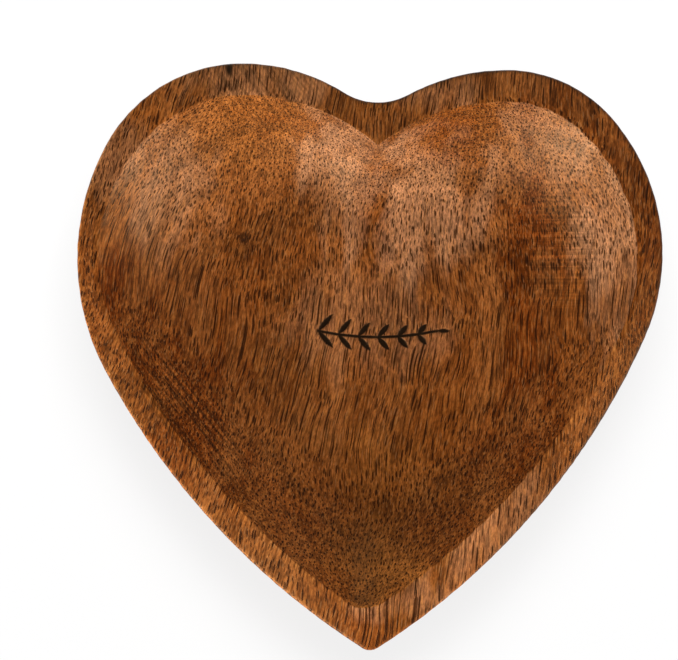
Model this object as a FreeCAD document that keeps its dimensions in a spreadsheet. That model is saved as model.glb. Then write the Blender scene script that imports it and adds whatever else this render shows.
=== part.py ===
import FreeCAD, Part
import math
import os
import Sketcher

# A heart-shaped trinket dish carved from one block of wood, in millimetres.
# The flat base lies on z = 0, the hollow faces +Z and the tip of the heart points to -Y.
# The origin is under the middle of the dish's box.

# Driving dimensions
SIZES = {
    # Outline of the heart, seen from above
    "heart_width": 102.0,
    "heart_length": 102.3,
    "right_lobe_drop": 1.15,
    "left_crown_radius": 27.0,
    "right_crown_radius": 24.3,
    "left_lobe_lean": 1.8,
    "right_lobe_lean": 2.9,
    "left_shoulder_radius": 41.6,
    "right_shoulder_radius": 36.0,
    "left_flank_radius": 130.4,
    "right_flank_radius": 123.8,
    "tip_radius": 2.3,
    "cleft_depth": 6.8,
    "cleft_shift": 1.4,
    "cleft_radius": 11.0,
    # Height and the curved side
    "dish_height": 20.0,
    "base_width": 85.0,
    # Rim, which slopes out from a narrow flat crest to an eased edge
    "rim_fall": 0.9,
    "edge_round": 0.6,
    "rim_left": 3.7,
    "rim_right": 4.6,
    "rim_top": 5.65,
    "rim_tip": 7.6,
    "rim_cleft": 7.4,
    "crest_width": 1.0,
    # Hollow
    "hollow_left_shoulder_radius": 29.0,
    "hollow_right_shoulder_radius": 30.1,
    "hollow_tip_radius": 5.8,
    "hollow_tip_shift": -0.8,
    "notch_radius": 0.8,
    "hollow_depth": 10.5,
    "floor_width": 40.0,
    "floor_shift": 4.0,
    "floor_cleft_depth": 1.2,
    "floor_cleft_radius": 20.0,
}

# What fixes one heart outline: points, centres of its arcs and radii of its arcs
OUTLINE = {
    "left_peak_x": "left_crown_radius + left_lobe_lean - heart_width / 2",
    "left_peak_y": "heart_length / 2",
    "right_peak_x": "heart_width / 2 - right_crown_radius - right_lobe_lean",
    "right_peak_y": "heart_length / 2 - right_lobe_drop",
    "left_shoulder_x": "left_shoulder_radius - heart_width / 2",
    "right_shoulder_x": "heart_width / 2 - right_shoulder_radius",
    "tip_x": "0",
    "tip_y": "tip_radius - heart_length / 2",
    "cleft_x": "cleft_shift",
    "cleft_y": "heart_length / 2 - cleft_depth + cleft_radius",
    "left_crown": "left_crown_radius",
    "right_crown": "right_crown_radius",
    "left_shoulder": "left_shoulder_radius",
    "right_shoulder": "right_shoulder_radius",
    "left_flank": "left_flank_radius",
    "right_flank": "right_flank_radius",
    "tip": "tip_radius",
    "cleft": "cleft_radius",
}

# The hollow's edge follows the outline at the rim's widths, with a sharp notch at the cleft.
HOLLOW = {
    "left_peak_x": "outline_left_peak_x",
    "left_peak_y": "outline_left_peak_y - rim_top",
    "right_peak_x": "outline_right_peak_x",
    "right_peak_y": "outline_right_peak_y - rim_top",
    "left_shoulder_x": "rim_left + hollow_left_shoulder_radius - heart_width / 2",
    "right_shoulder_x": "heart_width / 2 - rim_right - hollow_right_shoulder_radius",
    "tip_x": "hollow_tip_shift",
    "tip_y": "rim_tip + hollow_tip_radius - heart_length / 2",
    "cleft_x": "cleft_shift",
    "cleft_y": "heart_length / 2 - cleft_depth - rim_cleft + notch_radius",
    "left_crown": "left_crown_radius - rim_top",
    "right_crown": "right_crown_radius - rim_top",
    "left_shoulder": "hollow_left_shoulder_radius",
    "right_shoulder": "hollow_right_shoulder_radius",
    "left_flank": "left_flank_radius - rim_left",
    "right_flank": "right_flank_radius - rim_right",
    "tip": "hollow_tip_radius",
    "cleft": "notch_radius",
}
HOLLOW_WIDTH = "(heart_width - rim_left - rim_right)"

# Side of the dish: how far up each station lies, from the base (0) to the outline (1),
# and the power that makes it lean out at the base and stand up at the outline
SIDE_STEPS = (0.15, 0.32, 0.52, 0.75)
SIDE_POWER = 2.0

# Stations of the eased edge, in degrees round from the side to the rim
EDGE_ANGLES = (45, 90)

# Wall of the hollow: how far in each step lies, from its edge (0) to its floor (1),
# and the power that makes the wall steep at the edge and level at the floor
WALL_STEPS = (0.12, 0.3, 0.55, 1.0)
WALL_POWER = 2.3

# Arcs of the outline in order, counterclockwise from the cleft
ARCS = (
    "left_brow", "left_crown", "left_shoulder", "left_flank", "tip",
    "right_flank", "right_shoulder", "right_crown", "right_brow", "cleft",
)
START, END, CENTRE = 1, 2, 3


def scaled(parent, share):
    """Cells of an outline that is another one drawn in, or out, about the dish's axis."""
    return {key: f"{parent}_{key} * ({share})" for key in OUTLINE}


def side_outline(step):
    """Cells of an outline on the side, part of the way up from the base."""
    inward = (1 - step) ** SIDE_POWER
    cells = scaled("outline", f"1 - {inward} * (1 - base_width / heart_width)")
    cells["level"] = f"outline_level * {step}"
    return cells


def edge_outline(angle):
    """Cells of an outline on the eased edge, part of the way round from the side to the rim."""
    inward = 1 - math.cos(math.radians(angle))
    upward = math.sin(math.radians(angle))
    cells = scaled("outline", f"1 - 2 * edge_round * {inward} / heart_width")
    cells["level"] = f"outline_level + edge_round * {upward}"
    return cells


def wall_outline(step):
    """Cells of the hollow's outline part of the way down, where the notch widens and fades."""
    share = f"1 - {step} * (1 - floor_width / {HOLLOW_WIDTH})"
    cells = scaled("hollow", share)
    edge_depth = f"(hollow_left_peak_y - hollow_cleft_y + notch_radius) * ({share})"
    depth = f"{1 - step} * {edge_depth} + {step} * floor_cleft_depth"
    radius = f"(notch_radius + {step} * (floor_cleft_radius - notch_radius))"
    cells["cleft"] = radius
    cells["cleft_y"] = f"hollow_left_peak_y * ({share}) - ({depth}) + {radius}"
    for key in ("left_peak_y", "right_peak_y", "tip_y", "cleft_y"):
        cells[key] += f" + {step} * floor_shift"
    cells["level"] = f"dish_height - hollow_depth * {1 - (1 - step) ** WALL_POWER}"
    return cells


def outlines():
    """Every outline that the dish is drawn through, by name, with its level."""
    crest_share = f"1 + 2 * crest_width / {HOLLOW_WIDTH}"
    table = {
        "outline": {**OUTLINE, "level": "dish_height - rim_fall - edge_round"},
        "base": side_outline(0),
        "hollow": {**HOLLOW, "level": "dish_height"},
        "crest": {**scaled("hollow", crest_share), "level": "dish_height"},
    }
    for number, step in enumerate(SIDE_STEPS, start=1):
        table[f"side{number}"] = side_outline(step)
    for angle in EDGE_ANGLES:
        table[f"edge{angle}"] = edge_outline(angle)
    for number, step in enumerate(WALL_STEPS, start=1):
        table[f"wall{number}"] = wall_outline(step)
    return table


def make_sheet(doc):
    """Driving dimensions as plain numbers, then the outlines worked out from them."""
    sheet = doc.addObject("Spreadsheet::Sheet", "Sizes")
    cells = {alias: str(value) for alias, value in SIZES.items()}
    for name, keys in outlines().items():
        cells.update({f"{name}_{key}": f"={formula}" for key, formula in keys.items()})
    for row, (alias, text) in enumerate(cells.items(), start=1):
        sheet.set(f"A{row}", alias)
        sheet.set(f"B{row}", text)
        sheet.setAlias(f"B{row}", alias)
    doc.recompute()
    return sheet


def meeting(first, first_reach, second, second_reach, side):
    """Point at given distances from two points, left (1) or right (-1) of the way between them."""
    way = second - first
    along = (first_reach ** 2 - second_reach ** 2 + way.Length ** 2) / (2 * way.Length)
    across = math.sqrt(first_reach ** 2 - along ** 2)
    unit = way / way.Length
    return first + unit * along + FreeCAD.Vector(-unit.y, unit.x, 0) * (side * across)


def beyond(centre, other, radius):
    """Point on a circle about the first point, on the line from it through the second."""
    return centre + (other - centre).normalize() * radius


def half_heart(size, side, sign):
    """Centres, radii and meeting points of one lobe's arcs. The sign is -1 left and 1 right."""
    peak = FreeCAD.Vector(size(f"{side}_peak_x"), size(f"{side}_peak_y"), 0)
    cleft = FreeCAD.Vector(size("cleft_x"), size("cleft_y"), 0)
    tip = FreeCAD.Vector(size("tip_x"), size("tip_y"), 0)
    crown_radius = size(f"{side}_crown")
    shoulder_radius = size(f"{side}_shoulder")
    flank_radius = size(f"{side}_flank")
    to_cleft = cleft - peak
    spread = to_cleft.Length ** 2 - size("cleft") ** 2
    brow_radius = spread / (2 * (size("cleft") - to_cleft.y))
    brow = peak - FreeCAD.Vector(0, brow_radius, 0)
    crown = peak - FreeCAD.Vector(0, crown_radius, 0)
    reach = shoulder_radius - crown_radius
    shoulder_x = size(f"{side}_shoulder_x")
    drop = math.sqrt(reach ** 2 - (shoulder_x - crown.x) ** 2)
    shoulder = FreeCAD.Vector(shoulder_x, crown.y - drop, 0)
    flank = meeting(shoulder, flank_radius - shoulder_radius, tip, flank_radius - size("tip"), -sign)
    return {
        "brow": (brow, brow_radius, beyond(brow, cleft, brow_radius), peak),
        "crown": (crown, crown_radius, peak, beyond(shoulder, crown, shoulder_radius)),
        "shoulder": (
            shoulder,
            shoulder_radius,
            beyond(shoulder, crown, shoulder_radius),
            beyond(flank, shoulder, flank_radius),
        ),
        "flank": (
            flank,
            flank_radius,
            beyond(flank, shoulder, flank_radius),
            beyond(flank, tip, flank_radius),
        ),
    }


def heart_arcs(size):
    """The ten arcs of one outline, each counterclockwise about its own centre."""
    left = half_heart(size, "left", -1)
    right = half_heart(size, "right", 1)
    tip = FreeCAD.Vector(size("tip_x"), size("tip_y"), 0)
    cleft = FreeCAD.Vector(size("cleft_x"), size("cleft_y"), 0)
    arcs = {f"left_{key}": value for key, value in left.items()}
    for key, (centre, radius, upper, lower) in right.items():
        arcs[f"right_{key}"] = (centre, radius, lower, upper)
    arcs["tip"] = (tip, size("tip"), left["flank"][3], right["flank"][3])
    arcs["cleft"] = (cleft, size("cleft"), left["brow"][2], right["brow"][2])
    made = []
    for name in ARCS:
        centre, radius, start, end = arcs[name]
        angles = [math.atan2((p - centre).y, (p - centre).x) for p in (start, end)]
        circle = Part.Circle(centre, FreeCAD.Vector(0, 0, 1), radius)
        made.append(Part.ArcOfCircle(circle, *angles))
    return made


def heart_sketch(body, sheet, name):
    """A fully constrained heart at its height, bound to its cells in the sheet."""
    sketch = body.newObject("Sketcher::SketchObject", f"{name}_heart")
    planes = {plane.Role: plane for plane in body.Origin.OriginFeatures}
    sketch.AttachmentSupport = (planes["XY_Plane"], [""])
    sketch.MapMode = "FlatFace"
    sketch.setExpression("AttachmentOffset.Base.z", f"Sizes.{name}_level")

    def size(key):
        return float(sheet.get(f"{name}_{key}"))

    for arc in heart_arcs(size):
        sketch.addGeometry(arc, False)
    arc = {key: index for index, key in enumerate(ARCS)}

    chain = [("left_crown", "left_shoulder"), ("left_shoulder", "left_flank"), ("left_flank", "tip")]
    chain += [("tip", "right_flank"), ("right_flank", "right_shoulder"), ("right_shoulder", "right_crown")]
    for before, after in chain:
        sketch.addConstraint(Sketcher.Constraint("Tangent", arc[before], END, arc[after], START))
    sketch.addConstraint(Sketcher.Constraint("Tangent", arc["right_brow"], END, arc["cleft"], END))
    sketch.addConstraint(Sketcher.Constraint("Tangent", arc["cleft"], START, arc["left_brow"], START))

    peaks = [("left_brow", END, "left_crown", START), ("right_crown", END, "right_brow", START)]
    for before, before_end, after, after_end in peaks:
        sketch.addConstraint(
            Sketcher.Constraint("Coincident", arc[before], before_end, arc[after], after_end)
        )
        for key in (before, after):
            sketch.addConstraint(
                Sketcher.Constraint("Vertical", arc[key], CENTRE, arc[before], before_end)
            )

    places = {
        "left_peak": (arc["left_brow"], END),
        "right_peak": (arc["right_crown"], END),
        "left_shoulder": (arc["left_shoulder"], CENTRE),
        "right_shoulder": (arc["right_shoulder"], CENTRE),
        "tip": (arc["tip"], CENTRE),
        "cleft": (arc["cleft"], CENTRE),
    }
    named = []
    for place, point in places.items():
        for axis, kind in (("x", "DistanceX"), ("y", "DistanceY")):
            if f"{place}_{axis}" in OUTLINE:
                named.append((f"{place}_{axis}", (kind, -1, START, *point)))
    for key in ARCS:
        if key in OUTLINE:
            named.append((key, ("Radius", arc[key])))
    for key, parts in named:
        index = sketch.addConstraint(Sketcher.Constraint(*parts, size(key)))
        sketch.renameConstraint(index, key)
        sketch.setExpression(f"Constraints.{key}", f"Sizes.{name}_{key}")
    return sketch


def loft(body, kind, name, sketches, ruled=False):
    """A solid, or a cut, drawn through outlines from the first to the last."""
    feature = body.newObject(f"PartDesign::{kind}", name)
    feature.Profile = sketches[0]
    feature.Sections = sketches[1:]
    feature.Ruled = ruled
    return feature


def make_dish(doc, sheet):
    """The dish: a block with curved sides and a sloping rim, hollowed out."""
    body = doc.addObject("PartDesign::Body", "dish")
    body.Label = "dish"
    sketch = {name: heart_sketch(body, sheet, name) for name in outlines()}
    doc.recompute()
    sides = [sketch[f"side{number}"] for number in range(1, len(SIDE_STEPS) + 1)]
    edges = [sketch[f"edge{angle}"] for angle in EDGE_ANGLES]
    walls = [sketch[f"wall{number}"] for number in range(1, len(WALL_STEPS) + 1)]
    loft(body, "AdditiveLoft", "side", [sketch["base"], *sides, sketch["outline"]], ruled=True)
    loft(body, "AdditiveLoft", "rim", [sketch["outline"], *edges, sketch["crest"]], ruled=True)
    loft(body, "SubtractiveLoft", "carving", [sketch["hollow"], *walls])
    doc.recompute()
    return body


def check(doc, bodies):
    """Stop if an object failed or a sub-part has no sound solid."""
    for thing in doc.Objects:
        if "Invalid" in thing.State or "Error" in thing.State:
            raise RuntimeError(f"{thing.Name} failed: {thing.State}")
    for body in bodies:
        if body.Shape.isNull() or not body.Shape.isValid() or len(body.Shape.Solids) != 1:
            raise RuntimeError(f"{body.Label} is not one sound solid")


def main():
    doc = FreeCAD.newDocument("heart_dish")
    sheet = make_sheet(doc)
    bodies = [make_dish(doc, sheet)]
    check(doc, bodies)
    os.makedirs("parts", exist_ok=True)
    for body in bodies:
        body.Shape.exportStep(f"parts/{body.Label}.step")
        box = body.Shape.BoundBox
        print(body.Label, round(box.XLength, 2), round(box.YLength, 2), round(box.ZLength, 2))


main()
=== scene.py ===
import math
from collections import namedtuple

import bpy
import numpy as np
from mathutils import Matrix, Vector
from mathutils.bvhtree import BVHTree


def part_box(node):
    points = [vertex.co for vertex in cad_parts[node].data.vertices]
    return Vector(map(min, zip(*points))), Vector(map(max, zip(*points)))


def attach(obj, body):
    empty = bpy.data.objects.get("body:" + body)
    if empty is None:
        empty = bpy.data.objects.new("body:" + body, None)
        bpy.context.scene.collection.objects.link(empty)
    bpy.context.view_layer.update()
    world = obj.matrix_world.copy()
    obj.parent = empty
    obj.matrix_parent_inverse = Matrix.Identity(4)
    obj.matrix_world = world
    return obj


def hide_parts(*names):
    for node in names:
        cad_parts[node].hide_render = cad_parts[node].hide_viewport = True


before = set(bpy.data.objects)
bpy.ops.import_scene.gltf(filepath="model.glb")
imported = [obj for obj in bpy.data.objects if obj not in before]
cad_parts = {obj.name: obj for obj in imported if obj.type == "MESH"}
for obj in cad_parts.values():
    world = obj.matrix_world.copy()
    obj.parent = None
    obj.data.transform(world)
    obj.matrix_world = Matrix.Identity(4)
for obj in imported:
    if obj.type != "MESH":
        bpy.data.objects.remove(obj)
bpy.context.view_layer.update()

# A heart-shaped wooden dish, seen from straight above on a white surface.
# Lengths are in metres. The wood's pattern is worked out in millimetres.

MM = 0.001
DISH_LOW, DISH_HIGH = (Vector(corner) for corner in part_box("dish"))
TOP = DISH_HIGH.z
SEED = 7
RANDOM = np.random.default_rng(SEED)

# Photograph, and the camera that repeats it
IMAGE_WIDTH = 678
IMAGE_HEIGHT = 660
DISH_LEFT_PX = 76.5
DISH_RIGHT_PX = 663.5
DISH_MIDDLE_Y_PX = 357.0
CAMERA_DISTANCE = 0.9
SENSOR_WIDTH = 36.0

# Mesh of the dish: rings about a pole in the hollow, with a spoke through the notch
POLE = Vector((1.4 * MM, 4.0 * MM, 0))
SPOKES = 520
MOTIF_RINGS = 92
WALL_RINGS = 48
RIM_RINGS = 14
SIDE_RINGS = 14
BASE_RINGS = 5
POLE_SHARE = 0.004
MOTIF_SHARE = 0.36
EDGE_SHARE = 0.004
CREST_WIDTH = 1.0 * MM
BASE_ROUND = 0.7 * MM
BASE_ROUND_STEPS = (0.35, 0.75, 1.0)
BASE_MIDDLE_SHARE = 0.02

# Search of the solid: farthest reach, share of the way out where the hollow's edge is first looked for,
# steps and halvings of the search, and how far below the top counts as hollow
REACH = 0.09
SEARCH_SHARE = 0.3
SEARCH_STEP = 0.4 * MM
HALVINGS = 18
LEVEL_MARGIN = 0.004 * MM

# Hand-finished surface: the edges waver, with a range of ripples to the turn, and the hollow keeps
# faint waves that fade towards its edge
EDGE_WAVER = 0.10 * MM
EDGE_WAVER_REACH = 2.0 * MM
EDGE_RIPPLES = (25, 170)
HOLLOW_WAVER = 0.32 * MM
HOLLOW_WAVER_REACH = 1.5 * MM
HOLLOW_RIPPLES = (20, 90)
HOLLOW_WAVE = 0.07 * MM
WAVE_LENGTH = 9.0 * MM
WAVE_SPREAD = (0.7, 1.6)
WAVE_COUNT = 24
WAVE_FADE = 8

# Edges: wear and painted highlight to the left and towards the tip, painted shade to the right and the
# top
EDGE_LINE_WIDTH = 0.45 * MM
EDGE_MARK_DEPTH = 1.45 * MM
PALE_EDGE_TURN = 0.4
CREST_WEAR_AND_HIGHLIGHT = 0.32
DARK_TURN = 0.5
DARK_WAY = (0.8, 0.6)
WEAR_AND_HIGHLIGHT_SHADE = (2.2, 2.6, 2.9, 1)
EDGE_SHADE = (0.3, 0.25, 0.22, 1)

# The side is darker than the top, with a change between two heights in millimetres
SIDE_LEVELS = (16.8, 18.4)
SIDE_SHADE = 0.62

# Sprig burnt into the floor: a curved stem with pairs of leaves that get smaller to its end
STEM_LENGTH = 21.0 * MM
STEM_RISE = 1.1 * MM
STEM_WIDTH = 0.5 * MM
LEAF_PAIRS = 6
LEAF_LENGTH = 4.0 * MM
LEAF_WIDTH = 1.0 * MM
LEAF_ANGLE = math.radians(48)
LEAF_FULLNESS = 0.7
LEAF_SHRINK = 0.08
END_LEAF_LENGTH = 0.55 * LEAF_LENGTH
END_LEAF_WIDTH = 0.8 * LEAF_WIDTH
BURN_DEPTH = 0.16 * MM
BURN_EDGE = 0.14 * MM

# Run of the grain in millimetres: its lean at the left and at the right, how far it wanders and sways,
# and how steeply it dives into the block, in the middle and more for each millimetre to the lobes
LEAN_PLACES = (-45.0, 40.0)
LEANS = (0.26, 0.03)
WANDER = 7.0
WANDER_SCALE = (0.035, 0.035, 0.035)
SWAY = 1.8
SWAY_SCALE = (0.12, 0.05, 0.12)
GRAIN_DIP = 0.09
GRAIN_CURVE = 0.0045

# Layers of noise in the wood: waves to the millimetre across, along and through the grain, detail and
# roughness, and the low and high noise with what each turns into
Layer = namedtuple("Layer", "scale detail roughness low high to_low to_high")
BANDS = Layer((0.16, 0.014, 0.16), 4.0, 0.55, 0.34, 0.66, 0.0, 1.0)
CLOUDS = Layer((0.05, 0.03, 0.05), 2.0, 0.5, 0.4, 0.65, 0.0, 0.5)
RAGGED = Layer((0.22, 0.06, 0.22), 3.0, 0.5, 0.3, 0.7, -0.45, 0.45)
STRIPES = Layer((0.08, 0.02, 0.6), 3.0, 0.6, 0.34, 0.66, 0.8, 1.22)
FIBRES = Layer((2.4, 0.24, 1.2), 4.0, 0.65, 0.37, 0.58, 0.6, 1.22)
SPECKLE = Layer((3.4, 1.1, 3.4), 2.0, 0.6, 0.36, 0.64, 0.74, 1.26)
PATCHY_WEAR_AND_HIGHLIGHT = Layer((0.9, 0.9, 0.9), 3.0, 0.5, 0.36, 0.64, 0.1, 0.9)

# Ranges that turn the fibres' noise into a share or a value: low, high, and what each turns into
TAN_FIBRES = (0.48, 0.66, 0.0, 0.4)
SMUDGED_FIBRES = (0.42, 0.56, 0.95, 0.25)
ROUGH_FIBRES = (0.3, 0.7, 0.38, 0.52)

# Colours as they look on screen
DARK_BROWN = (126, 65, 21)
LIGHT_BROWN = (156, 90, 41)
CLOUD_BROWN = (130, 66, 16)
TAN = (187, 117, 52)
FLECK_TAN = (198, 138, 84)
SMUDGE_BROWN = (46, 21, 8)
BURNT = (18, 8, 4)
PALE = (205, 146, 103)
WARM = (204, 124, 54)
DEEP = (106, 42, 0)

# Paler and darker patches painted into the wood's colour: middle and reach in millimetres, strength in
# the hollow and on the rim, and colour. The pale patches on the walls beside the notch, on the lobes'
# sides and on the lower-right rim are painted highlights and sheen; the dark patches on the left and
# lower walls and down the notch's ridge are painted shade. The others make the wood paler, warmer or
# darker in places.
ZONES_OF_TONE_AND_LIGHT = (
    # Painted highlights and sheen on the walls beside the notch and on the lobes' sides
    ((-4.5, 32.0), (10.0, 16.0), 0.62, 0.0, PALE),
    ((10.0, 27.0), (12.0, 16.0), 0.55, 0.0, PALE),
    ((31.0, 37.0), (13.0, 12.0), 0.42, 0.0, PALE),
    ((-36.5, 29.0), (11.0, 15.0), 0.46, 0.0, PALE),
    ((-20.0, 50.0), (18.0, 9.0), 0.0, 0.32, PALE),
    ((22.0, -29.0), (18.0, 14.0), 0.0, 0.26, PALE),
    ((-24.0, 41.0), (15.0, 10.0), 0.2, 0.0, WARM),
    ((1.0, -36.0), (13.0, 11.0), 0.5, 0.0, WARM),
    ((3.0, -39.5), (8.0, 6.0), 0.6, 0.0, WARM),
    ((-4.0, -20.0), (16.0, 10.0), 0.25, 0.0, WARM),
    ((0.0, 6.0), (18.0, 13.0), 0.2, 0.0, PALE),
    ((28.0, 12.0), (6.8, 34.0), 0.9, 0.5, DEEP),
    ((47.0, 30.0), (24.0, 32.0), 0.0, 0.65, DEEP),
    ((-31.0, -12.0), (13.0, 24.0), 0.85, 0.3, DEEP),
    ((-45.0, 11.0), (8.0, 15.0), 0.95, 0.3, DEEP),
    ((-26.0, 12.5), (15.0, 9.0), 0.28, 0.0, DEEP),
    ((-11.0, -27.0), (14.0, 14.0), 0.55, 0.0, DEEP),
    ((11.0, -30.5), (9.0, 6.5), 0.5, 0.0, DEEP),
    ((26.0, -16.0), (13.0, 10.0), 0.55, 0.0, DEEP),
    ((14.0, 38.0), (7.0, 6.0), 0.55, 0.0, DEEP),
    ((0.5, 27.0), (4.0, 13.0), 0.4, 0.0, DEEP),
    ((-41.0, -3.0), (8.0, 14.0), 0.7, 0.0, DEEP),
    ((-8.0, -41.0), (7.0, 5.0), 0.8, 0.25, DEEP),
    ((-2.0, -50.0), (9.0, 9.0), 0.0, 0.5, DEEP),
    ((-47.0, 16.0), (8.0, 12.0), 0.0, 0.35, DEEP),
    ((-38.0, -20.0), (10.0, 14.0), 0.0, 0.5, DEEP),
    ((43.0, 22.5), (8.5, 30.0), 0.64, 0.0, PALE),
    ((4.0, -42.5), (13.0, 4.0), 0.0, 0.28, PALE),
    ((12.0, 46.0), (8.0, 5.0), 0.0, 0.3, PALE),
    ((-44.0, 33.0), (7.0, 10.0), 0.0, 0.25, PALE),
)

# Fine lines left by tools: direction, middle and reach along and across it in millimetres, lines to
# the millimetre, and strength
TOOL_MARKS = (
    ((0.62, -0.785), (-11.4, -30.5), (21.0, 6.5), 2.2, 0.6),
    ((0.62, -0.78), (-50.0, 16.0), (14.0, 14.0), 1.9, 0.34),
    ((1.0, 0.0), (33.0, 20.0), (8.0, 17.0), 1.9, 0.32),
)

# Waves to the millimetre along those lines, and the noise at their dark and at their pale parts
MARK_RUN = 0.05
MARK_NOISE = (0.38, 0.62)

# Pores in millimetres: spacing and radius of the large vessels and of the fine ones, spread of their
# sizes, softness of their edges and the shade inside
VESSEL_SPACING = 0.64
VESSEL_RADIUS = 0.128
FINE_SPACING = 0.42
FINE_RADIUS = 0.08
FINE_STRENGTH = 0.72
PORE_SIZES = (0.6, 1.3)
PORE_SOFTNESS = 0.1
PORE_SHADE = (0.17, 0.125, 0.09, 1)

# Pale flecks between the pores: cells to the millimetre, and two distances from a cell's middle with
# the strength at each
FLECK_SCALE = (2.6, 0.25, 2.6)
FLECK_REACH = (0.16, 0.32, 0.3, 0.0)

# Dark smudge in the left lobe and dark crack in the rim above it: middle and reach in millimetres, and
# the heights between which they come in
SMUDGE_PLACE = (-22.0, 19.5)
SMUDGE_REACH = (1.6, 3.4)
SMUDGE_LEVELS = (2.0, 4.0)
CRACK_PLACE = (-24.5, 50.2)
CRACK_REACH = (0.8, 2.0)
CRACK_LEVELS = (14.0, 19.0)

# Finish of the wood
FIBRE_RELIEF = 0.6
BUMP_STRENGTH = 0.6
BUMP_DEPTH = 0.12 * MM
GLOSS = 0.32
GLOSS_TINT = (1.0, 0.6, 0.28, 1)

# White surface just under the dish: reach from its middle, height, colour and how much of it glows
FLOOR_REACH = 8.0
FLOOR_LEVEL = -0.02 * MM
FLOOR_COLOUR = (0.97, 0.97, 0.97, 1)
FLOOR_GLOW = 0.83

# Light from all round, between the horizon and overhead
SKY_HEIGHTS = (0.2, 1.0)
SKY_LEVELS = (0.4, 0.14)

# Lamps: where they hang, their size and their level, at which 1 renders a level white surface white
LAMP_DISTANCE = 1.0
DISH_LAMPS = {
    "left_light": ((-0.62, -0.70, 0.38), 0.4, 0.40),
    "right_light": ((0.80, -0.45, 0.38), 0.4, 0.25),
    "back_light": ((0.1, 0.8, 0.55), 0.6, 0.08),
}
FLOOR_LAMPS = {
    "surface_light": ((0.03, 0.5, 0.9), 0.55, 0.95),
}


def spoke_directions():
    """Unit directions of the spokes, from the notch round counterclockwise."""
    angles = math.pi / 2 + 2 * math.pi * np.arange(SPOKES) / SPOKES
    return np.stack([np.cos(angles), np.sin(angles)], axis=1)


def waver(lowest, highest):
    """A random ripple round the spokes, between 0 and 1, with so many waves to the turn."""
    orders = np.arange(lowest, highest)
    turns = 2 * math.pi * np.outer(np.arange(SPOKES) / SPOKES, orders)
    ripple = np.cos(turns + RANDOM.uniform(0, 2 * math.pi, orders.size)).sum(axis=1)
    return (ripple - ripple.min()) / np.ptp(ripple)


def wavy_field(places):
    """A smooth random field of unit size over the points, by adding up plane waves."""
    directions = RANDOM.normal(size=(WAVE_COUNT, 3))
    directions /= np.linalg.norm(directions, axis=1)[:, None]
    lengths = WAVE_LENGTH * RANDOM.uniform(*WAVE_SPREAD, WAVE_COUNT)
    phases = RANDOM.uniform(0, 2 * math.pi, WAVE_COUNT)
    angles = places @ (directions * (2 * math.pi / lengths[:, None])).T + phases
    return np.cos(angles).sum(axis=1) * math.sqrt(2 / WAVE_COUNT)


def solid_tree():
    """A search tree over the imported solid, to find where a line meets it."""
    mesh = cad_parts["dish"].data
    points = [vertex.co for vertex in mesh.vertices]
    return BVHTree.FromPolygons(points, [polygon.vertices for polygon in mesh.polygons])


def level_below(tree, direction, radius):
    """Height of the solid's upper surface at a distance from the pole, or None outside it."""
    start = POLE + Vector((*direction, 0)) * radius
    start.z = 2 * TOP
    hit = tree.ray_cast(start, Vector((0, 0, -1)))[0]
    return hit.z if hit else None


def levels_below(tree, spokes, radii):
    """Heights of the solid's upper surface round one ring."""
    return np.array([level_below(tree, way, radius) for way, radius in zip(spokes, radii)])


def boundary(test, low, high):
    """Where a test that holds at the low end stops holding, by halving."""
    for _ in range(HALVINGS):
        middle = (low + high) / 2
        if test(middle):
            low = middle
        else:
            high = middle
    return low


def outline_radius(tree, direction):
    """Distance from the pole to the dish's outline, seen from above."""
    return boundary(lambda radius: level_below(tree, direction, radius) is not None, 0, REACH)


def hollow_radius(tree, direction, outline):
    """Distance from the pole to the hollow's edge."""

    def in_hollow(radius):
        return level_below(tree, direction, radius) < TOP - LEVEL_MARGIN

    radius = SEARCH_SHARE * outline
    while in_hollow(radius):
        radius += SEARCH_STEP
    return boundary(in_hollow, radius - SEARCH_STEP, radius)


def side_radius(tree, direction, level):
    """Distance from the pole to the dish's side at one height."""
    way = Vector((*direction, 0))
    start = POLE + way * REACH
    start.z = level
    hit = tree.ray_cast(start, -way)[0]
    return (hit - POLE).dot(way)


def hollow_shares():
    """How far out the hollow's rings lie, close together where the sprig is."""
    inner = np.linspace(POLE_SHARE, MOTIF_SHARE, MOTIF_RINGS)
    outer = np.linspace(MOTIF_SHARE, 1 - EDGE_SHARE, WALL_RINGS)[1:]
    return np.concatenate([inner, outer, [1.0]])


def solid_rings(tree, spokes, outline, hollow):
    """Radii and heights of the rings, by ring and spoke, from the hollow's middle round to the base's."""
    crest = hollow + CREST_WIDTH
    radii = [hollow * share for share in hollow_shares()]
    for share in (EDGE_SHARE * hollow.mean() / CREST_WIDTH, 0.5, 1.0):
        radii.append(hollow + (crest - hollow) * share)
    for share in np.arange(1, RIM_RINGS) / RIM_RINGS:
        radii.append(crest + (outline - crest) * math.sin(share * math.pi / 2))
    levels = [levels_below(tree, spokes, ring) for ring in radii]

    edge_level = min(levels[-1])
    for share in np.linspace(0, 1, SIDE_RINGS):
        level = edge_level * (1 - share) + BASE_ROUND * share
        radii.append(np.array([side_radius(tree, way, level) for way in spokes]))
        levels.append(np.full(SPOKES, level))
    foot = radii[-1]
    for share in BASE_ROUND_STEPS:
        radii.append(foot - BASE_ROUND * (1 - math.cos(share * math.pi / 2)))
        levels.append(np.full(SPOKES, BASE_ROUND * (1 - math.sin(share * math.pi / 2))))
    for share in np.linspace(1, BASE_MIDDLE_SHARE, BASE_RINGS + 1)[1:]:
        radii.append((foot - BASE_ROUND) * share)
        levels.append(np.zeros(SPOKES))
    return np.array(radii), np.array(levels)


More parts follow.
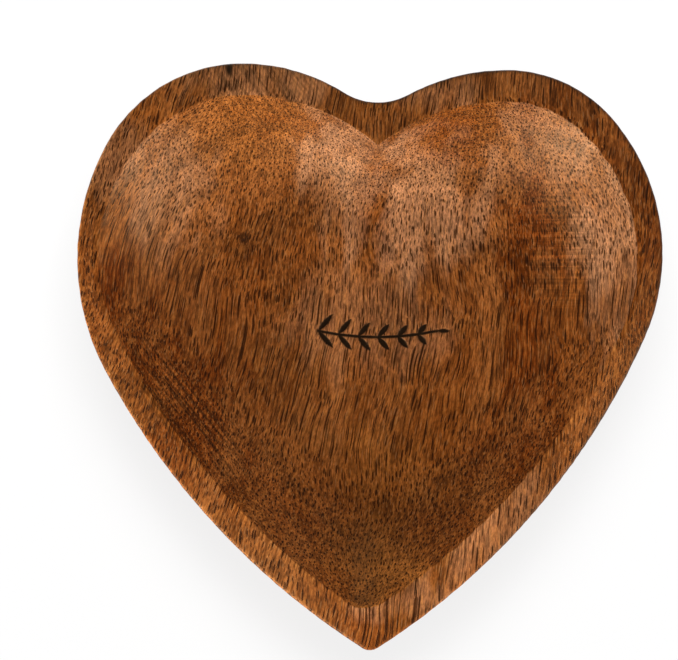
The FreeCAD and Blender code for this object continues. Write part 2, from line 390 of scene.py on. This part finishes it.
def edge_wear_and_light(spokes, outline, hollow, radii, levels):
    """How pale with wear and painted highlight, and how dark with painted shade, the edges are by ring
    and spoke.
    """
    on_top = levels > TOP - EDGE_MARK_DEPTH
    outer_line = np.exp(-((radii - outline) / EDGE_LINE_WIDTH) ** 2)
    crest_line = np.exp(-((radii - hollow) / (2 * EDGE_LINE_WIDTH)) ** 2) * (radii > hollow)
    to_left, to_tip = np.clip(PALE_EDGE_TURN - spokes.T, 0, 1)
    # Pale lines: wear, and painted highlight on the outer edge to the left and on the crest towards the
    # tip
    wear_and_highlight = to_left * outer_line + CREST_WEAR_AND_HIGHLIGHT * to_tip * crest_line
    # Painted shade: a dark line along the outer edge to the right and the top, where the side falls away
    # from the lamps
    painted_edge_shade = np.clip(DARK_TURN + spokes @ DARK_WAY, 0, 1) * outer_line
    return wear_and_highlight * on_top, painted_edge_shade * on_top


def wavered(outline, hollow, radii, levels):
    """The radii with the outer edge and the hollow's edge wavering a little."""
    near_rim = np.exp(-((radii - outline) / EDGE_WAVER_REACH) ** 2)
    near_hollow = np.exp(-((radii - hollow) / HOLLOW_WAVER_REACH) ** 2) * (levels > TOP / 2)
    radii = radii - EDGE_WAVER * near_rim * waver(*EDGE_RIPPLES)
    return radii - HOLLOW_WAVER * near_hollow * (waver(*HOLLOW_RIPPLES) - 0.5)


def dish_rings():
    """Points of the dish's surface by ring and spoke, and its edges' wear, painted highlight and painted
    shade.
    """
    tree = solid_tree()
    spokes = spoke_directions()
    outline = np.array([outline_radius(tree, way) for way in spokes])
    hollow = np.array([hollow_radius(tree, way, edge) for way, edge in zip(spokes, outline)])
    radii, levels = solid_rings(tree, spokes, outline, hollow)
    wear_and_highlight, painted_edge_shade = edge_wear_and_light(spokes, outline, hollow, radii, levels)
    radii = wavered(outline, hollow, radii, levels)
    flat = np.array(POLE)[:2] + spokes * radii[:, :, None]
    return np.concatenate([flat, levels[:, :, None]], axis=2), wear_and_highlight, painted_edge_shade


def line_distance(places, start, end):
    """How far along the line from start to end each place lies, from 0 to 1, and how far off it."""
    along = end - start
    offset = places - start
    share = np.clip(offset @ along / (along @ along), 0, 1)
    return share, np.linalg.norm(offset - share[:, None] * along, axis=1)


def leaf_cover(places, base, tip, width):
    """Signed distance into a pointed leaf from base to tip, positive inside."""
    share, gap = line_distance(places, base, tip)
    return width / 2 * np.sin(math.pi * share) ** LEAF_FULLNESS - gap


def sprig_burn(places):
    """How deeply the sprig is burnt at each place on the floor, from 0 to 1."""
    centre = np.array(POLE)[:2]
    shares = np.linspace(-0.5, 0.5, LEAF_PAIRS + 1)
    stem = centre + np.stack([shares * STEM_LENGTH, STEM_RISE * (4 * shares ** 2 - 0.5)], axis=1)
    covers = [STEM_WIDTH / 2 - line_distance(places, *ends)[1] for ends in zip(stem[:-1], stem[1:])]
    for index, base in enumerate(stem[:-1]):
        size = LEAF_LENGTH * (1 - LEAF_SHRINK * index)
        for side in (-1, 1):
            way = np.array([math.cos(LEAF_ANGLE), side * math.sin(LEAF_ANGLE)])
            covers.append(leaf_cover(places, base, base + way * size, LEAF_WIDTH))
    end_leaf = stem[-1] + np.array([END_LEAF_LENGTH, 0])
    covers.append(leaf_cover(places, stem[-1], end_leaf, END_LEAF_WIDTH))
    return np.clip(np.max(covers, axis=0) / BURN_EDGE + 0.5, 0, 1)


def ring_mesh(name, points):
    """A closed mesh of quads through rings of points, with a fan at each pole."""
    count, spokes, _ = points.shape
    vertices = points.reshape(-1, 3).tolist()
    faces = []
    for ring in range(count - 1):
        here = ring * spokes
        for spoke in range(spokes):
            after = (spoke + 1) % spokes
            faces.append((here + spoke, here + spokes + spoke, here + spokes + after, here + after))
    for ring in (0, count - 1):
        vertices.append(points[ring].mean(axis=0).tolist())
        for spoke in range(spokes):
            pair = [ring * spokes + spoke, ring * spokes + (spoke + 1) % spokes]
            faces.append((len(vertices) - 1, *(pair if ring == 0 else pair[::-1])))
    mesh = bpy.data.meshes.new(name)
    mesh.from_pydata(vertices, [], faces)
    mesh.validate()
    mesh.shade_smooth()
    return mesh


def set_values(mesh, name, values):
    """Keep a value at each of the mesh's first points, and 0 at the rest."""
    padded = np.zeros(len(mesh.vertices))
    padded[:values.size] = values.ravel()
    mesh.attributes.new(name, "FLOAT", "POINT").data.foreach_set("value", padded)


def make_dish():
    """The carved dish as one mesh that follows the solid, with its waves and its burnt sprig."""
    points, wear_and_highlight, painted_edge_shade = dish_rings()
    shares = hollow_shares()
    floor_points = points[:len(shares)].reshape(-1, 3)
    burn = sprig_burn(floor_points[:, :2])
    wave = wavy_field(floor_points) * np.repeat(1 - shares ** WAVE_FADE, SPOKES)
    floor_points[:, 2] += HOLLOW_WAVE * wave - BURN_DEPTH * burn
    points[:len(shares)] = floor_points.reshape(len(shares), SPOKES, 3)
    mesh = ring_mesh("carved_dish", points)
    set_values(mesh, "burn", burn)
    set_values(mesh, "hollow", np.ones_like(burn))
    set_values(mesh, "wear_and_highlight", wear_and_highlight)
    set_values(mesh, "painted_edge_shade", painted_edge_shade)
    piece = bpy.data.objects.new("carved_dish", mesh)
    bpy.context.scene.collection.objects.link(piece)
    piece.data.materials.append(wood_material())
    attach(piece, "root")
    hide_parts("dish")
    return piece


class Nodes:
    """Adds nodes to a material and joins them, so that each layer of a finish reads as one line."""

    def __init__(self, material):
        material.use_nodes = True
        self.tree = material.node_tree
        self.tree.nodes.clear()

    def add(self, kind, **settings):
        node = self.tree.nodes.new(kind)
        for key, value in settings.items():
            setattr(node, key, value)
        return node

    def put(self, socket, value):
        if isinstance(value, bpy.types.NodeSocket):
            self.tree.links.new(value, socket)
        else:
            socket.default_value = value

    def math(self, operation, *values):
        node = self.add("ShaderNodeMath", operation=operation)
        for socket, value in zip(node.inputs, values):
            self.put(socket, value)
        return node.outputs[0]

    def split(self, vector):
        node = self.add("ShaderNodeSeparateXYZ")
        self.put(node.inputs[0], vector)
        return node.outputs

    def joined(self, *values):
        node = self.add("ShaderNodeCombineXYZ")
        for socket, value in zip(node.inputs, values):
            self.put(socket, value)
        return node.outputs[0]

    def scaled(self, vector, factors):
        node = self.add("ShaderNodeVectorMath", operation="MULTIPLY")
        self.put(node.inputs[0], vector)
        node.inputs[1].default_value = factors
        return node.outputs[0]

    def attribute(self, name):
        return self.add("ShaderNodeAttribute", attribute_name=name).outputs["Fac"]

    def noise(self, vector, scale, detail=2.0, roughness=0.5):
        node = self.add("ShaderNodeTexNoise")
        self.put(node.inputs["Vector"], self.scaled(vector, scale))
        node.inputs["Scale"].default_value = 1.0
        node.inputs["Detail"].default_value = detail
        node.inputs["Roughness"].default_value = roughness
        return node.outputs["Fac"]

    def cells(self, vector, scale, dimensions="3D"):
        node = self.add("ShaderNodeTexVoronoi", voronoi_dimensions=dimensions)
        self.put(node.inputs["Vector"], self.scaled(vector, scale))
        node.inputs["Scale"].default_value = 1.0
        return node.outputs["Distance"], node.outputs["Color"]

    def ramp(self, value, low, high, to_low=0.0, to_high=1.0):
        node = self.add("ShaderNodeMapRange", interpolation_type="SMOOTHSTEP")
        for socket, number in zip(node.inputs, (value, low, high, to_low, to_high)):
            self.put(socket, number)
        return node.outputs[0]

    def mix(self, share, first, second, blend="MIX"):
        node = self.add("ShaderNodeMix", data_type="RGBA", blend_type=blend)
        for index, value in ((0, share), (6, first), (7, second)):
            self.put(node.inputs[index], value)
        return node.outputs[2]

    def shaded(self, tone, shade, share=1.0):
        """The tone multiplied by a shade, in full or in part."""
        return self.mix(share, tone, shade, "MULTIPLY")

    def layer(self, vector, look):
        """The noise of a layer, and what its range turns that noise into."""
        noise = self.noise(vector, look.scale, look.detail, look.roughness)
        return noise, self.ramp(noise, look.low, look.high, look.to_low, look.to_high)

    def spread(self, vector, scale, width):
        """Smooth noise about 0, of the given width."""
        return self.math("MULTIPLY", self.math("SUBTRACT", self.noise(vector, scale), 0.5), width)

    def spot(self, x, y, centre, radii, ragged=0.0):
        """A soft oval mark, 1 in its middle and 0 outside, with an edge that may be ragged."""
        across = self.math("DIVIDE", self.math("SUBTRACT", x, centre[0]), radii[0])
        along = self.math("DIVIDE", self.math("SUBTRACT", y, centre[1]), radii[1])
        reach = self.math("ADD", self.math("POWER", across, 2.0), self.math("POWER", along, 2.0))
        return self.ramp(self.math("ADD", reach, ragged), 0.0, 1.0, 1.0, 0.0)


def srgb(red, green, blue):
    """A colour as it looks on screen, in the linear numbers that shaders use."""
    linear = []
    for value in (red / 255, green / 255, blue / 255):
        linear.append(value / 12.92 if value <= 0.04045 else ((value + 0.055) / 1.055) ** 2.4)
    return (*linear, 1.0)


def grain_space(nodes, place):
    """Millimetres across, along and through the grain, which leans, dips and wanders in the block."""
    x, y, z = nodes.split(place)
    lean = nodes.ramp(x, *LEAN_PLACES, *LEANS)
    across = nodes.math("SUBTRACT", x, nodes.math("MULTIPLY", y, lean))
    across = nodes.math("ADD", across, nodes.spread(place, WANDER_SCALE, WANDER))
    slope = nodes.math("ADD", nodes.math("MULTIPLY", y, GRAIN_CURVE / 2), GRAIN_DIP)
    through = nodes.math("ADD", z, nodes.math("MULTIPLY", y, slope))
    through = nodes.math("ADD", through, nodes.spread(place, SWAY_SCALE, SWAY))
    return nodes.joined(across, y, through)


def pore_layer(nodes, grain, spacing, radius):
    """Vessels along the grain: dashes where it is cut along, dots where it is cut across."""
    across, _, through = nodes.split(grain)
    gap, pick = nodes.cells(nodes.joined(across, through, 0.0), (1 / spacing,) * 3, "2D")
    gap = nodes.math("DIVIDE", gap, nodes.ramp(pick, 0.0, 1.0, *PORE_SIZES))
    edge = radius / spacing
    return nodes.ramp(gap, (1 - PORE_SOFTNESS) * edge, (1 + PORE_SOFTNESS) * edge, 1.0, 0.0)


def pore_cover(nodes, grain):
    """How far large and fine pores cover each place."""
    vessels = pore_layer(nodes, grain, VESSEL_SPACING, VESSEL_RADIUS)
    fine = pore_layer(nodes, grain, FINE_SPACING, FINE_RADIUS)
    return nodes.math("MAXIMUM", vessels, nodes.math("MULTIPLY", fine, FINE_STRENGTH))


def tool_marks(nodes, x, y):
    """Shade of the fine lines that carving and sanding left on the hollow's walls."""
    plain = (1, 1, 1, 1)
    shade = plain
    for (to_x, to_y), centre, radii, pitch, strength in TOOL_MARKS:
        along = nodes.math("ADD", nodes.math("MULTIPLY", x, to_x), nodes.math("MULTIPLY", y, to_y))
        across = nodes.math("SUBTRACT", nodes.math("MULTIPLY", y, to_x), nodes.math("MULTIPLY", x, to_y))
        lines = nodes.noise(nodes.joined(along, across, 0.0), (MARK_RUN, pitch, 1.0))
        lines = nodes.ramp(lines, *MARK_NOISE, 1 - strength, 1 + strength / 2)
        shade = nodes.shaded(shade, nodes.mix(nodes.spot(along, across, centre, radii), plain, lines))
    return shade


def wood_and_light_tone(nodes, place, grain):
    """Large patches, in part painted highlight and shade, the layers and fibres of the wood without its
    pores, and the fibres' noise.
    """
    x, y, _ = nodes.split(place)
    tone = nodes.mix(nodes.layer(grain, BANDS)[1], srgb(*DARK_BROWN), srgb(*LIGHT_BROWN))
    tone = nodes.mix(nodes.layer(grain, CLOUDS)[1], tone, srgb(*CLOUD_BROWN))
    ragged = nodes.layer(grain, RAGGED)[1]
    in_hollow = nodes.attribute("hollow")
    # Patches of tone, among them painted highlights, sheen and shade
    for centre, radii, inside, outside, colour in ZONES_OF_TONE_AND_LIGHT:
        share = nodes.ramp(in_hollow, 0.0, 1.0, outside, inside)
        patch = nodes.math("MULTIPLY", nodes.spot(x, y, centre, radii, ragged), share)
        tone = nodes.mix(patch, tone, srgb(*colour))
    tone = nodes.shaded(tone, nodes.layer(grain, STRIPES)[1])
    fibres, fibre_shade = nodes.layer(grain, FIBRES)
    tone = nodes.shaded(tone, fibre_shade)
    tone = nodes.mix(nodes.ramp(fibres, *TAN_FIBRES), tone, srgb(*TAN))
    tone = nodes.shaded(tone, nodes.layer(grain, SPECKLE)[1])
    return nodes.shaded(tone, tool_marks(nodes, x, y)), fibres


def edge_tone(nodes, place, tone):
    """The tone with its edges' wear and painted highlight, their painted shade, and its darker side."""
    height = nodes.split(place)[2]
    # Pale edges, part wear and part painted highlight, broken up by noise
    wear_and_highlight = nodes.math("MULTIPLY", nodes.attribute("wear_and_highlight"), nodes.layer(place, PATCHY_WEAR_AND_HIGHLIGHT)[1])
    tone = nodes.shaded(tone, WEAR_AND_HIGHLIGHT_SHADE, wear_and_highlight)
    # Painted shade along the outer edge
    tone = nodes.shaded(tone, EDGE_SHADE, nodes.attribute("painted_edge_shade"))
    on_top = nodes.math("MAXIMUM", nodes.attribute("hollow"), nodes.ramp(height, *SIDE_LEVELS))
    return nodes.shaded(tone, nodes.ramp(on_top, 0.0, 1.0, SIDE_SHADE, 1.0))


def marked_tone(nodes, place, tone, fibres):
    """The tone with its smudge, its crack and its burnt sprig."""
    x, y, z = nodes.split(place)
    smudge = nodes.spot(x, y, SMUDGE_PLACE, SMUDGE_REACH)
    smudge = nodes.math("MULTIPLY", smudge, nodes.ramp(fibres, *SMUDGED_FIBRES))
    smudge = nodes.math("MULTIPLY", smudge, nodes.ramp(z, *SMUDGE_LEVELS))
    tone = nodes.mix(smudge, tone, srgb(*SMUDGE_BROWN))
    crack = nodes.spot(x, y, CRACK_PLACE, CRACK_REACH)
    crack = nodes.math("MULTIPLY", crack, nodes.ramp(z, *CRACK_LEVELS))
    return nodes.mix(nodes.math("MAXIMUM", nodes.attribute("burn"), crack), tone, srgb(*BURNT))


def wood_material():
    """Open-pored brown wood: a solid pattern along a leaning grain, cut by the dish's surface."""
    material = bpy.data.materials.new("oiled_wood")
    nodes = Nodes(material)
    place = nodes.scaled(nodes.add("ShaderNodeTexCoord").outputs["Object"], (1 / MM,) * 3)
    grain = grain_space(nodes, place)
    tone, fibres = wood_and_light_tone(nodes, place, grain)
    pores = pore_cover(nodes, grain)
    tone = nodes.shaded(tone, PORE_SHADE, pores)
    flecks = nodes.ramp(nodes.cells(grain, FLECK_SCALE)[0], *FLECK_REACH)
    flecks = nodes.math("MULTIPLY", flecks, nodes.math("SUBTRACT", 1.0, pores))
    tone = nodes.mix(flecks, tone, srgb(*FLECK_TAN))
    tone = edge_tone(nodes, place, tone)
    tone = marked_tone(nodes, place, tone, fibres)

    bump = nodes.add("ShaderNodeBump")
    bump.inputs["Strength"].default_value = BUMP_STRENGTH
    bump.inputs["Distance"].default_value = BUMP_DEPTH
    relief = nodes.math("SUBTRACT", nodes.math("MULTIPLY", fibres, FIBRE_RELIEF), pores)
    nodes.put(bump.inputs["Height"], relief)

    shader = nodes.add("ShaderNodeBsdfPrincipled")
    nodes.put(shader.inputs["Base Color"], tone)
    nodes.put(shader.inputs["Roughness"], nodes.ramp(fibres, *ROUGH_FIBRES))
    nodes.put(shader.inputs["Normal"], bump.outputs[0])
    shader.inputs["Specular IOR Level"].default_value = GLOSS
    shader.inputs["Specular Tint"].default_value = GLOSS_TINT
    output = nodes.add("ShaderNodeOutputMaterial")
    nodes.put(output.inputs["Surface"], shader.outputs[0])
    return material


def white_surface():
    """White that lights the dish as paper does, and shows its shadow faintly where it is seen."""
    material = bpy.data.materials.new("white_surface")
    nodes = Nodes(material)
    path = nodes.add("ShaderNodeLightPath").outputs
    seen = nodes.math("MAXIMUM", path["Is Camera Ray"], path["Is Glossy Ray"])
    seen = nodes.math("MAXIMUM", seen, path["Is Transmission Ray"])
    paper = nodes.add("ShaderNodeBsdfDiffuse")
    paper.inputs["Color"].default_value = FLOOR_COLOUR
    glow = nodes.add("ShaderNodeEmission")
    glow.inputs["Strength"].default_value = 1.0
    mixed = nodes.add("ShaderNodeMixShader")
    nodes.put(mixed.inputs[0], nodes.math("MULTIPLY", seen, FLOOR_GLOW))
    nodes.put(mixed.inputs[1], paper.outputs[0])
    nodes.put(mixed.inputs[2], glow.outputs[0])
    output = nodes.add("ShaderNodeOutputMaterial")
    nodes.put(output.inputs["Surface"], mixed.outputs[0])
    return material


def make_floor():
    """A wide white surface for the dish to stand on."""
    mesh = bpy.data.meshes.new("floor")
    signs = ((-1, -1), (1, -1), (1, 1), (-1, 1))
    corners = [(x * FLOOR_REACH, y * FLOOR_REACH, FLOOR_LEVEL) for x, y in signs]
    mesh.from_pydata(corners, [], [(0, 1, 2, 3)])
    mesh.materials.append(white_surface())
    floor = bpy.data.objects.new("floor", mesh)
    bpy.context.scene.collection.objects.link(floor)
    return floor


def make_world():
    """Soft white light from all round, dimmer overhead where the camera hangs."""
    world = bpy.data.worlds.new("studio")
    bpy.context.scene.world = world
    nodes = Nodes(world)
    height = nodes.split(nodes.add("ShaderNodeTexCoord").outputs["Generated"])[2]
    background = nodes.add("ShaderNodeBackground")
    background.inputs["Color"].default_value = (1, 1, 1, 1)
    nodes.put(background.inputs["Strength"], nodes.ramp(height, *SKY_HEIGHTS, *SKY_LEVELS))
    output = nodes.add("ShaderNodeOutputWorld")
    nodes.put(output.inputs["Surface"], background.outputs[0])


def make_lamp(name, direction, size, level, lit):
    """A soft square lamp that lights one object only."""
    way = Vector(direction).normalized()
    lamp = bpy.data.lights.new(name, "AREA")
    lamp.size = size
    lamp.energy = level * math.pi ** 2 * LAMP_DISTANCE ** 2 / way.z
    holder = bpy.data.objects.new(name, lamp)
    holder.location = way * LAMP_DISTANCE
    holder.rotation_euler = way.to_track_quat("Z", "Y").to_euler()
    bpy.context.scene.collection.objects.link(holder)
    receivers = bpy.data.collections.new(f"{name}_receivers")
    receivers.objects.link(lit)
    holder.light_linking.receiver_collection = receivers


def make_camera():
    """A long lens straight above, framed as the photograph is."""
    per_pixel = (DISH_HIGH.x - DISH_LOW.x) / (DISH_RIGHT_PX - DISH_LEFT_PX)
    middle_x = (DISH_LEFT_PX + DISH_RIGHT_PX) / 2
    camera = bpy.data.cameras.new("camera")
    camera.sensor_fit = "HORIZONTAL"
    camera.sensor_width = SENSOR_WIDTH
    camera.lens = SENSOR_WIDTH * CAMERA_DISTANCE / (IMAGE_WIDTH * per_pixel)
    holder = bpy.data.objects.new("camera", camera)
    across = (IMAGE_WIDTH / 2 - middle_x) * per_pixel
    along = (DISH_MIDDLE_Y_PX - IMAGE_HEIGHT / 2) * per_pixel
    holder.location = (across, along, TOP + CAMERA_DISTANCE)
    bpy.context.scene.collection.objects.link(holder)
    bpy.context.scene.camera = holder


dish = make_dish()
floor = make_floor()
make_world()
for lamps, lit in ((DISH_LAMPS, dish), (FLOOR_LAMPS, floor)):
    for name, (direction, size, level) in lamps.items():
        make_lamp(name, direction, size, level, lit)
make_camera()
bpy.context.scene.view_settings.view_transform = "Standard"
